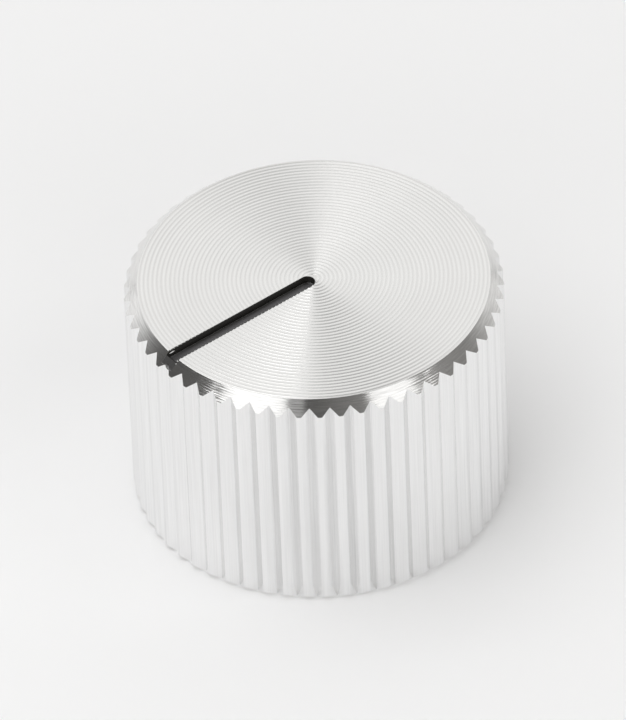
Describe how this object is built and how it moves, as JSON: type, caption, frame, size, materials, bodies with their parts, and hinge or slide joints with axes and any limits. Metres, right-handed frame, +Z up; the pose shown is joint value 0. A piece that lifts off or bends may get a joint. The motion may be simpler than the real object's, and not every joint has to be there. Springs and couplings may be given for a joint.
{
  "type": "knurled knob",
  "caption": "Solid turned aluminium control knob with a straight-knurled side, chamfered ringed top face, black pointer line and a set-screw bore for a round shaft.",
  "frame": {"origin": "centre of the underside, on the shaft's axis", "axes": "+Z up along the shaft's axis to the top face, -Y along the pointer from the axis to the rim, +Y towards the set screw"},
  "size_m": [0.025, 0.025, 0.0174],
  "materials": {
    "turned_aluminium": "bright turned, with fine tool rings on the face and drawn streaks in the knurl",
    "black_enamel": "black enamel wiped into the slot, satin",
    "screw_steel": "black-oxide steel"
  },
  "bodies": {
    "root": {"knob_body": "turned_aluminium", "pointer_paint": "black_enamel", "set_screw": "screw_steel"}
  },
  "joints": []
}
